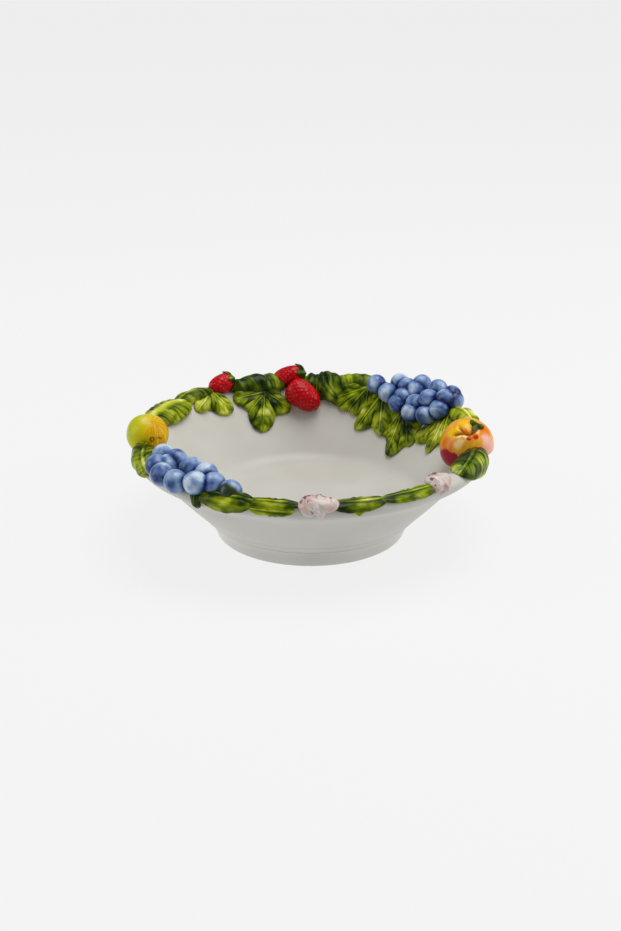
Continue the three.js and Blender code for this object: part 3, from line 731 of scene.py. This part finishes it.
def pressBlossom(node, sprig):
    flower = startBall(node + "_glazed", 160, 72)
    ball = readPoints(flower)
    up = ball[:, 2]
    share = np.hypot(ball[:, 0], ball[:, 1])
    angle = np.arctan2(-ball[:, 1], ball[:, 0])
    lobes = [(i * 360 / sprig["petals"], sprig["petal"], 180 / sprig["petals"]) for i in range(sprig["petals"])]
    reach = outlineReach({**sprig, "lobes": lobes}, angle) * share
    outer = np.abs(np.cos(angle * sprig["petals"] / 2))  # 1 along a petal's middle
    inner = np.abs(np.sin(angle * sprig["petals"] / 2 + sprig["spin"]))
    valley = (1 - outer) ** 2 * ease(0.5, 0.9, share)
    frill = bell(share - 0.55 - 0.1 * inner, 0.1)
    lumps = np.sin(4.1 * angle + sprig["spin"]) * bell(share - 0.4, 0.2)
    brim = bell(share - 0.85, 0.1) * outer
    relief = 0.9 * frill * (0.3 + 0.7 * inner) - 1.2 * valley + 0.6 * lumps + 0.5 * brim
    lift = np.where(up > 0, sprig["edge"] + (sprig["rise"] - sprig["edge"]) * up + relief * ease(0, 0.2, up),
                    sprig["edge"] + (sprig["root"] + sprig["edge"]) * up)
    along, out = reach * np.cos(angle), reach * np.sin(angle)
    writePoints(flower, layOnRim(sprig["bearing"], along, sprig["across"] + out, lift))
    inside = ease(0.0, 5.0, 1.5 - out)  # the painter worked on the half that faces the bowl
    # mauve paint on the petal edges, plus painted shade in the grooves between petals
    writeLayer(flower, "petalEdge", np.clip(frill * inner + 0.5 * valley, 0, 1) * (0.35 + 0.65 * inside))
    brushed = np.zeros(len(along))
    for u, v, width, amount in sprig["dabs"]:
        brushed = np.maximum(brushed, amount * bell(np.hypot(along - u, out - v), width))
    writeLayer(flower, "heart", brushed)
    settle(flower, node, glazes["blossom_pink"])


for node, sprig in blossoms.items():
    pressBlossom(node, sprig)
print("blossoms pressed:", len(blossoms))


def fruitFrame(sprig):  # stalk end off the rim, then leant over towards aim
    aim = math.radians(sprig["aim"])
    tilt = Matrix.Rotation(math.radians(sprig["lean"]), 4, Vector((-math.cos(aim), math.sin(aim), 0)))
    return rimFrame(sprig) @ tilt


def placeFruit(piece, frameMatrix):
    points = readPoints(piece)
    turn = np.array(frameMatrix.to_3x3())
    writePoints(piece, points @ turn.T + np.array(frameMatrix.translation))


strawberryShape = {"waist": 0.62, "end": 0.3, "taper": 0.85, "seedGap": 3.4, "dimple": 0.5, "seed": 0.25}
strawberries = {
    "strawberry_small": {"bearing": 124, "across": 0, "lift": 9, "aim": 180, "lean": 80, "length": 25,
                         "radius": 9.5},
    "strawberry_lower": {"bearing": 94.3, "across": -15.2, "lift": 8, "aim": 42, "lean": 92, "length": 35,
                         "radius": 13.5},
    "strawberry_upper": {"bearing": 97, "across": -1, "lift": 9.5, "aim": 180, "lean": 82, "length": 29,
                         "radius": 10},
}


def crownOutline(sprig):  # from the widest ring up to the stalk end
    radius, top = sprig["radius"], sprig["length"] * (1 - strawberryShape["waist"])
    return bendPoints(Vector((radius, 0)), Vector((radius, top)),
                      Vector((radius * strawberryShape["end"], top)), 24)


def makeStrawberry(node, sprig):
    shape = strawberryShape
    radius = sprig["radius"]
    tip = -sprig["length"] * shape["waist"]
    top = sprig["length"] + tip
    end = radius * shape["end"]
    lower = []
    for i in range(37):
        s = i / 36
        nearTip, nearWaist = 3 * s * (1 - s) ** 2, 3 * s * s * (1 - s)
        wide = end * (1 - s) ** 3 + radius * (shape["taper"] * nearTip + nearWaist + s ** 3)
        lower.append((wide, tip * ((1 - s) ** 3 + shape["taper"] * nearTip + shape["end"] * nearWaist)))
    upper = crownOutline(sprig)[1:]
    nose = [(end * math.sin(i * math.pi / 10), tip - 0.35 * end * math.cos(i * math.pi / 10)) for i in range(5)]
    crown = [(end * (1 - i / 4), top - 0.4 * (i / 4)) for i in range(1, 5)]
    berry = turnProfile(node + "_glazed", nose + lower + upper + crown, 128)
    points = readPoints(berry) / mm
    ring = np.hypot(points[:, 0], points[:, 1])
    area = 2 * math.pi * radius * sprig["length"] * 0.8
    count = int(area / shape["seedGap"] ** 2)
    outline = nose + lower + upper
    heights = np.array([spot[1] for spot in outline])
    widths = np.array([spot[0] for spot in outline])
    bands = (widths[1:] + widths[:-1]) / 2 * np.hypot(np.diff(widths), np.diff(heights))
    weights = np.concatenate(([0], np.cumsum(bands)))
    stands = np.interp((np.arange(count) + 0.5) / count * weights[-1], weights, np.arange(len(outline)))
    seedRadius = np.interp(stands, np.arange(len(outline)), widths)
    seedTurn = np.arange(count) * goldenTurn
    seeds = np.column_stack((seedRadius * np.cos(seedTurn), seedRadius * np.sin(seedTurn),
                             np.interp(stands, np.arange(len(outline)), heights)))
    near = np.min(np.linalg.norm(points[:, None, :] - seeds[None, :, :], axis=2), axis=1)
    dimple = bell(near, 1.25)
    seed = bell(near, 0.55)
    normals = np.empty(len(points) * 3)
    berry.data.vertices.foreach_get("normal", normals)
    push = shape["seed"] * seed - shape["dimple"] * dimple
    writePoints(berry, (points + normals.reshape(-1, 3) * push[:, None]) * mm)
    writeLayer(berry, "seed", seed)
    writeLayer(berry, "dimple", np.clip(dimple - seed, 0, 1))
    placeFruit(berry, fruitFrame(sprig))
    settle(berry, node, glazes["strawberry_red"])


for node, sprig in strawberries.items():
    makeStrawberry(node, sprig)
print("strawberries made:", len(strawberries))

quince = {"bearing": 180, "across": -3, "lift": 3.5, "aim": 0, "lean": 25, "radius": 19, "height": 36,
          "skirt": 0.05}


def makeQuince(sprig):
    fruit = startBall("quince_glazed", 128, 96)
    ball = readPoints(fruit)
    turn = np.arctan2(ball[:, 1], ball[:, 0])
    lumps = 1 + 0.012 * np.cos(3 * turn + 0.6) + 0.01 * np.cos(5 * turn + 2.0) * (1 - ball[:, 2] ** 2)
    lumps += sprig["skirt"] * ease(0.1, 0.6, -ball[:, 2]) * (1 + ball[:, 2])
    spots = ball * np.array([sprig["radius"], sprig["radius"], sprig["height"] / 2]) * lumps[:, None]
    writePoints(fruit, spots * mm)
    writeLayer(fruit, "brush", np.column_stack((np.cos(turn), np.sin(turn), ball[:, 2])))
    placeFruit(fruit, fruitFrame(sprig))
    aim = (readPoints(fruit) - np.array(fruitFrame(sprig).translation)) / (sprig["radius"] * mm)
    writeLayer(fruit, "green", ease(-0.2, 0.8, -aim[:, 0] * 0.9 + aim[:, 2] * 0.3))
    writeLayer(fruit, "amber", ease(-0.5, 0.3, aim[:, 0] * 0.8 - aim[:, 2] * 0.3))
    # painted highlight: a pale patch near the top of the fruit
    writeLayer(fruit, "shine", 0.45 * bell(np.linalg.norm(aim - np.array([-0.1, -0.4, 0.88]), axis=1), 0.2))
    eye = aim - np.array([0.3, -0.94, 0.1])  # the flower end, painted as a squiggle with a stroke beside it
    ring = bell(np.linalg.norm(eye, axis=1) - 0.09 - 0.015 * np.sin(3 * np.arctan2(eye[:, 2], eye[:, 0])), 0.035)
    tilde = bell(eye[:, 2] + 0.02 - 0.05 * np.sin((eye[:, 0] - 0.2) * 22), 0.035) * bell(eye[:, 0] - 0.32, 0.13)
    under = bell(np.linalg.norm((aim - np.array([0.42, -0.76, -0.5])) * np.array([0.6, 1, 1.6]), axis=1), 0.13)
    writeLayer(fruit, "eye", np.clip((ring + tilde * (aim[:, 1] < 0)) + under * 0.6, 0, 1))
    settle(fruit, "quince", glazes["quince_yellow"])


makeQuince(quince)

peach = {"bearing": -2, "across": -11, "lift": 1.5, "aim": 113, "lean": 70, "radius": 24, "fold": 2.6,
         "foldWidth": 0.07, "lip": 0.9, "cheek": 3.2, "cheekAim": (-0.78, -0.5, -0.38),
         "undercut": 3.5, "overhang": 2.5}
peachDabs = {  # where each colour was brushed on, as directions from the fruit's middle, with width and strength
    "yellow": [((-0.19, -0.31, 0.93), 0.3, 1.0), ((-0.65, -0.44, 0.62), 0.22, 1.0),
               ((-0.47, -0.49, 0.73), 0.2, 1.0)],
    "orange": [((-0.8, -0.55, 0.24), 0.36, 1.0), ((-0.76, -0.64, 0.1), 0.3, 1.0),
               ((-0.15, -0.64, 0.76), 0.14, 1.0),
               ((0.17, -0.62, 0.77), 0.14, 1.0), ((0.59, -0.36, 0.72), 0.4, 1.0), ((0.5, -0.6, 0.62), 0.2, 0.8)],
    # the cream dabs are painted highlights along the cleft
    "cream": [((-0.39, -0.72, 0.57), 0.13, 1.0), ((-0.15, -0.79, 0.59), 0.12, 1.0),
              ((-0.46, -0.84, 0.29), 0.2, 0.9),
              ((-0.37, -0.84, 0.4), 0.2, 0.9), ((0.3, -0.56, 0.77), 0.13, 1.0)],
    "pink": [((0.7, -0.62, 0.34), 0.34, 1.0), ((0.85, -0.5, 0.0), 0.4, 1.0), ((0.57, -0.67, 0.47), 0.2, 0.9)],
    "crimson": [((-0.82, -0.55, -0.3), 0.4, 1.0), ((-0.59, -0.78, -0.25), 0.32, 1.0),
                ((-0.78, -0.62, -0.12), 0.2, 0.9)],
    "spot": [((0.22, -0.77, 0.59), 0.15, 1.0), ((-0.02, -0.83, 0.55), 0.12, 1.0),
             ((0.1, -0.8, 0.57), 0.07, 0.8)],
}
peachFolds = [  # the creases that run together at the stalk hollow
    [(-0.4, -0.22, 0.89), (-0.34, -0.44, 0.83), (-0.25, -0.61, 0.75), (-0.19, -0.69, 0.7)],
    [(-0.66, -0.61, 0.45), (-0.52, -0.61, 0.6), (-0.36, -0.65, 0.67), (-0.19, -0.69, 0.69)],
    [(0.43, -0.38, 0.82), (0.15, -0.66, 0.74), (0.03, -0.75, 0.66), (-0.09, -0.74, 0.67), (-0.19, -0.69, 0.69)],
]


def foldDistance(aim, run):  # how far a direction lies from a crease, and how far along it
    runs = np.array(run)
    best, along = np.full(len(aim), 9.0), np.zeros(len(aim))
    for i in range(len(runs) - 1):
        step = runs[i + 1] - runs[i]
        share = np.clip((aim - runs[i]) @ step / (step @ step), 0, 1)
        away = np.linalg.norm(aim - runs[i] - share[:, None] * step, axis=1)
        along = np.where(away < best, (i + share) / (len(runs) - 1), along)
        best = np.minimum(best, away)
    return best, along


def makePeach(sprig):
    fruit = startBall("peach_glazed", 256, 176)
    ball = readPoints(fruit)
    writeLayer(fruit, "brush", ball)
    turn = np.array(fruitFrame(sprig).to_3x3())
    aim = ball @ turn.T
    crease, lip = np.zeros(len(aim)), np.zeros(len(aim))
    for run in peachFolds:
        away, along = foldDistance(aim, run)
        crease = np.maximum(crease, bell(away, sprig["foldWidth"]) * ease(0, 0.4, along))
        below, along = foldDistance(aim + np.array([0, 0.05, 0.14]), run)
        if run is not peachFolds[0]:
            lip = np.maximum(lip, bell(below, sprig["foldWidth"] * 0.8) * ease(0, 0.5, along))
    lip = np.clip(lip - crease, 0, 1)
    cheek = sprig["cheek"] * bell(np.linalg.norm(aim - np.array(sprig["cheekAim"]), axis=1), 0.55)
    dent = 1.2 * bell(np.hypot(ball[:, 0], ball[:, 1]), 0.25) * (ball[:, 2] > 0)
    reach = sprig["radius"] + cheek - dent - sprig["fold"] * crease + sprig["lip"] * lip
    writePoints(fruit, ball * reach[:, None] * mm)
    for colour, dabs in peachDabs.items():
        layer = np.zeros(len(aim))
        for spot, width, strength in dabs:
            layer = np.maximum(layer, strength * bell(np.linalg.norm(aim - np.array(spot), axis=1), width))
        writeLayer(fruit, colour, layer)
    # painted shade: the fold colour darkens the creases
    writeLayer(fruit, "fold", 0.9 * crease)
    # painted highlight: the lip colour pales the ridge below each crease
    writeLayer(fruit, "lip", 0.8 * lip)
    placeFruit(fruit, fruitFrame(sprig))
    points = readPoints(fruit) / mm
    ring = np.hypot(points[:, 0], points[:, 1])
    under = np.interp(ring, (rollCentre.x, rollCentre.x + sprig["radius"]),
                      (rollCentre.y - sprig["undercut"], rollCentre.y + sprig["overhang"]))
    beyond = ring > rollCentre.x
    points[:, 2] = np.where(beyond, np.maximum(points[:, 2], under), points[:, 2])  # outside it ends on the roll
    middle = neck.x + (points[:, 2] - neck.y) * wallRun.x / wallRun.y - rim["wall"] / 2 / wallRun.y
    pull = np.where(~beyond & (points[:, 2] < under), np.minimum(1, middle / ring), 1)
    points[:, :2] *= pull[:, None]
    writePoints(fruit, points * mm)
    settle(fruit, "peach", glazes["peach_orange"])


makePeach(peach)
print("quince and peach made")

ballOutline = arcPoints(Vector((0, 0)), peach["radius"], 0, math.pi / 2, 24)
calyxes = {
    "peach_calyx": {"fruit": peach, "outline": ballOutline, "reach": 7.5, "web": 0.5, "sepals": 3,
                    "value": 0.18},
    "calyx_small": {"fruit": strawberries["strawberry_small"],
                    "outline": crownOutline(strawberries["strawberry_small"]), "reach": 13.5, "web": 0.72,
                    "sepals": 5, "value": 0.2},
    "calyx_upper": {"fruit": strawberries["strawberry_upper"],
                    "outline": crownOutline(strawberries["strawberry_upper"]), "reach": 13.5, "web": 0.72,
                    "sepals": 5, "value": 0.2},
}
calyxThickness = 1.3


def makeCalyx(node, sprig):  # sepals lie along the fruit's own outline, their tips curl off it
    cap = startBall(node + "_glazed", 160, 48)
    ball = readPoints(cap)
    angle = np.arctan2(-ball[:, 1], ball[:, 0])
    share = np.hypot(ball[:, 0], ball[:, 1])
    web = sprig["web"] * sprig["reach"]  # how far out the sepals stay joined
    lobes = [(i * 360 / sprig["sepals"], sprig["reach"] - web,
              180 / sprig["sepals"]) for i in range(sprig["sepals"])]
    out = outlineReach({"length": 2 * web, "width": 2 * web, "lobes": lobes}, angle) * share
    outline = sprig["outline"]
    path = np.array([(0, outline[-1][1])] + outline[::-1] + [(outline[0][0], -8)])
    run = np.concatenate(([0], np.cumsum(np.linalg.norm(np.diff(path, axis=0), axis=1))))
    ring, height = np.interp(out, run, path[:, 0]), np.interp(out, run, path[:, 1])
    slopeRing = (np.interp(out + 0.5, run, path[:, 0]) - ring) / 0.5
    slopeHeight = (np.interp(out + 0.5, run, path[:, 1]) - height) / 0.5
    middle = np.abs(np.cos(angle * sprig["sepals"] / 2))
    ridge = bell((1 - middle) * share, 0.06)
    lift = calyxThickness * ball[:, 2] + 0.3 + 0.5 * ease(0.75, 1.0, share) * middle
    relief = 0.5 * ridge - 0.5 * (1 - middle) * ease(0.3, 0.7, share) + 1.4 * bell(share, 0.14)
    lift += np.where(ball[:, 2] > 0, relief, 0)
    ring, height = ring - slopeHeight * lift, height + slopeRing * lift
    writePoints(cap, np.column_stack((ring * np.cos(angle), -ring * np.sin(angle), height)) * mm)
    writeLayer(cap, "value", sprig["value"] + 0.2 * ridge + 0.14 * middle * share - 0.2 * (1 - middle) * share)
    writeLayer(cap, "brush", np.column_stack((out * 0.3, angle * 6, np.full_like(out, sprig["reach"]))))
    placeFruit(cap, fruitFrame(sprig["fruit"]))
    settle(cap, node, glazes["leaf_dark"])


for node, sprig in calyxes.items():
    makeCalyx(node, sprig)
print("calyxes made:", len(calyxes))

# grapes, placed by bearing, across and lift
bunches = {
    "front_grape": {"radius": 10.4, "leafy": 6, "places": [
        (-146.8, 3, 6.5), (-141.3, 5.5, 7.5), (-134, 6, 8.5), (-127.3, 3.5, 8), (-123, -2, 5), (-116.4, -2, 1.5),
        (-154.5, -5, 8.5), (-145.5, -2, 5.5), (-145.5, -5, 11.5), (-136.3, -5, 11.4), (-128.7, -5, 11.1)]},
    "back_grape": {"radius": 9.6, "leafy": 0, "places": [
        (63.3, -4, 9.5), (57, -7.5, 9.5), (50.4, -15.4, 9.5), (42.2, -20.3, 9.5), (33.7, -17.4, 9.5),
        (28.5, -7, 9.5),
        (28.3, 1, 9.5), (55.3, 1, 9), (45.9, 1, 13), (37.8, 1, 13.5), (30, 1, 13.5), (42.2, -11.3, 9.5),
        (49.5, -8, 9), (50.8, -1.5, 8.5), (46.1, -2.5, 9), (35.5, -5.5, 13.5), (29.5, -2, 12.5)]},
}
grapeShape = {"long": 0.03, "scar": 0.05, "creaseShadeWidth": 4.0}


def modelGrape():  # one berry, a little long, with the scar of its flower at one end
    berry = startBall("grapePattern", 48, 32)
    ball = readPoints(berry)
    side = np.hypot(ball[:, 0], ball[:, 1])
    scar = 1 - grapeShape["scar"] * bell(side, 0.14) * (ball[:, 2] > 0)
    stretch = np.array([1 - grapeShape["long"] / 2, 1 - grapeShape["long"] / 2, 1 + grapeShape["long"]])
    writePoints(berry, ball * stretch * scar[:, None])
    turn = np.arctan2(ball[:, 1], ball[:, 0])
    writeLayer(berry, "brush", np.column_stack((turn * 2.5, ball[:, 2] * 6, ball[:, 0])))
    return berry


def placeGrapes(bunch, spec, pattern):
    frames = [rimFrame({"bearing": b, "across": a, "lift": l}) for b, a, l in spec["places"]]
    centres = np.array([f.translation for f in frames]) / mm
    for i, spot in enumerate(frames):
        node = f"{bunch}_{i + 1}"
        berry = pattern.copy()
        berry.data = pattern.data.copy()
        berry.name = node + "_glazed"
        bpy.context.collection.objects.link(berry)
        spin = Matrix.Rotation(i * goldenTurn, 3, "Z")
        nod = Matrix.Rotation(0.7 + 0.3 * math.sin(i * 2.1), 3, "X")
        turn = spot.to_3x3() @ spin @ nod
        points = readPoints(berry) @ np.array(turn).T * spec["radius"] + centres[i]
        others = np.delete(centres, i, axis=0)
        gap = np.min(np.linalg.norm(points[:, None, :] - others[None, :, :], axis=2), axis=1) - spec["radius"]
        off = np.array(spot.to_3x3().col[2])
        # painted light: each berry is painted paler on its upper, outward side
        bloom = np.clip((points - centres[i]) @ (off * 0.6 + np.array([0, 0, 0.5])) / spec["radius"], 0, 1)
        writePoints(berry, points * mm)
        # painted shade: darker navy where a berry comes close to its neighbours
        writeLayer(berry, "crease", 1 - ease(-0.5, grapeShape["creaseShadeWidth"], gap))
        writeLayer(berry, "bloom", bloom)
        lean = np.array(spot.to_3x3().col[0]) * 0.9 - off * 0.5
        low = ease(-0.1, 0.4, (points - centres[i]) @ lean / spec["radius"])
        writeLayer(berry, "leafy", low * (i + 1 == spec["leafy"]))
        settle(berry, node, glazes["grape_blue"])
    print(bunch, len(frames))


grapePattern = modelGrape()
for bunch, spec in bunches.items():
    placeGrapes(bunch, spec, grapePattern)
bpy.data.objects.remove(grapePattern)

stage = {"floorRadius": 9.0, "floorTone": 0.07, "floorGlow": 0.82, "world": 0.3}
clearSelection()
bpy.ops.mesh.primitive_circle_add(
    vertices=96, radius=stage["floorRadius"], fill_type="NGON", location=(0, 0, -0.2 * mm))
floor = bpy.context.object
floor.name = "paleFloor"
floorPaint, paint = startGlaze("paleFloor")
glow = paint.node("ShaderNodeBsdfPrincipled", {}, {
    "Base Color": (stage["floorTone"],) * 3 + (1,), "Roughness": 0.9, "Emission Color": (1, 1, 1, 1),
    "Emission Strength": stage["floorGlow"], "Specular IOR Level": 0.1}, "BSDF")
paint.node("ShaderNodeOutputMaterial", {}, {"Surface": glow})
floor.data.materials.append(floorPaint)

studio = bpy.data.worlds.new("studio")
bpy.context.scene.world = studio
studio.use_nodes = True
studio.node_tree.nodes["Background"].inputs["Color"].default_value = (1, 1, 1, 1)
studio.node_tree.nodes["Background"].inputs["Strength"].default_value = stage["world"]
lights = {
    "topBox": {"at": (0.4, 0.1, 2.0), "aim": (0, 0, 0), "size": (1.6, 1.2), "power": 34},
    "leftBox": {"at": (-1.9, -0.1, 0.8), "aim": (0, 0, 0.05), "size": (1.0, 1.4), "power": 14},
    "rightBox": {"at": (1.9, 0.0, 0.9), "aim": (0, 0, 0.05), "size": (1.0, 1.4), "power": 16},
}
for name, light in lights.items():
    clearSelection()
    aim = Vector(light["aim"]) - Vector(light["at"])
    bpy.ops.object.light_add(type="AREA", location=light["at"], rotation=aim.to_track_quat("-Z", "Y").to_euler())
    box = bpy.context.object
    box.name = name
    box.data.shape = "RECTANGLE"
    box.data.size, box.data.size_y = light["size"]
    box.data.energy = light["power"]

view = {"elevation": 21.5, "distance": 1.5, "target": 0.0618, "lens": 63.88}
tilt = math.radians(view["elevation"])
clearSelection()
bpy.ops.object.camera_add(
    location=(0, -view["distance"] * math.cos(tilt), view["target"] + view["distance"] * math.sin(tilt)),
    rotation=(math.pi / 2 - tilt, 0, 0))
camera = bpy.context.object
camera.data.lens = view["lens"]
camera.data.sensor_width = 36
bpy.context.scene.camera = camera
bpy.context.scene.view_settings.view_transform = "Standard"
print("stage set")
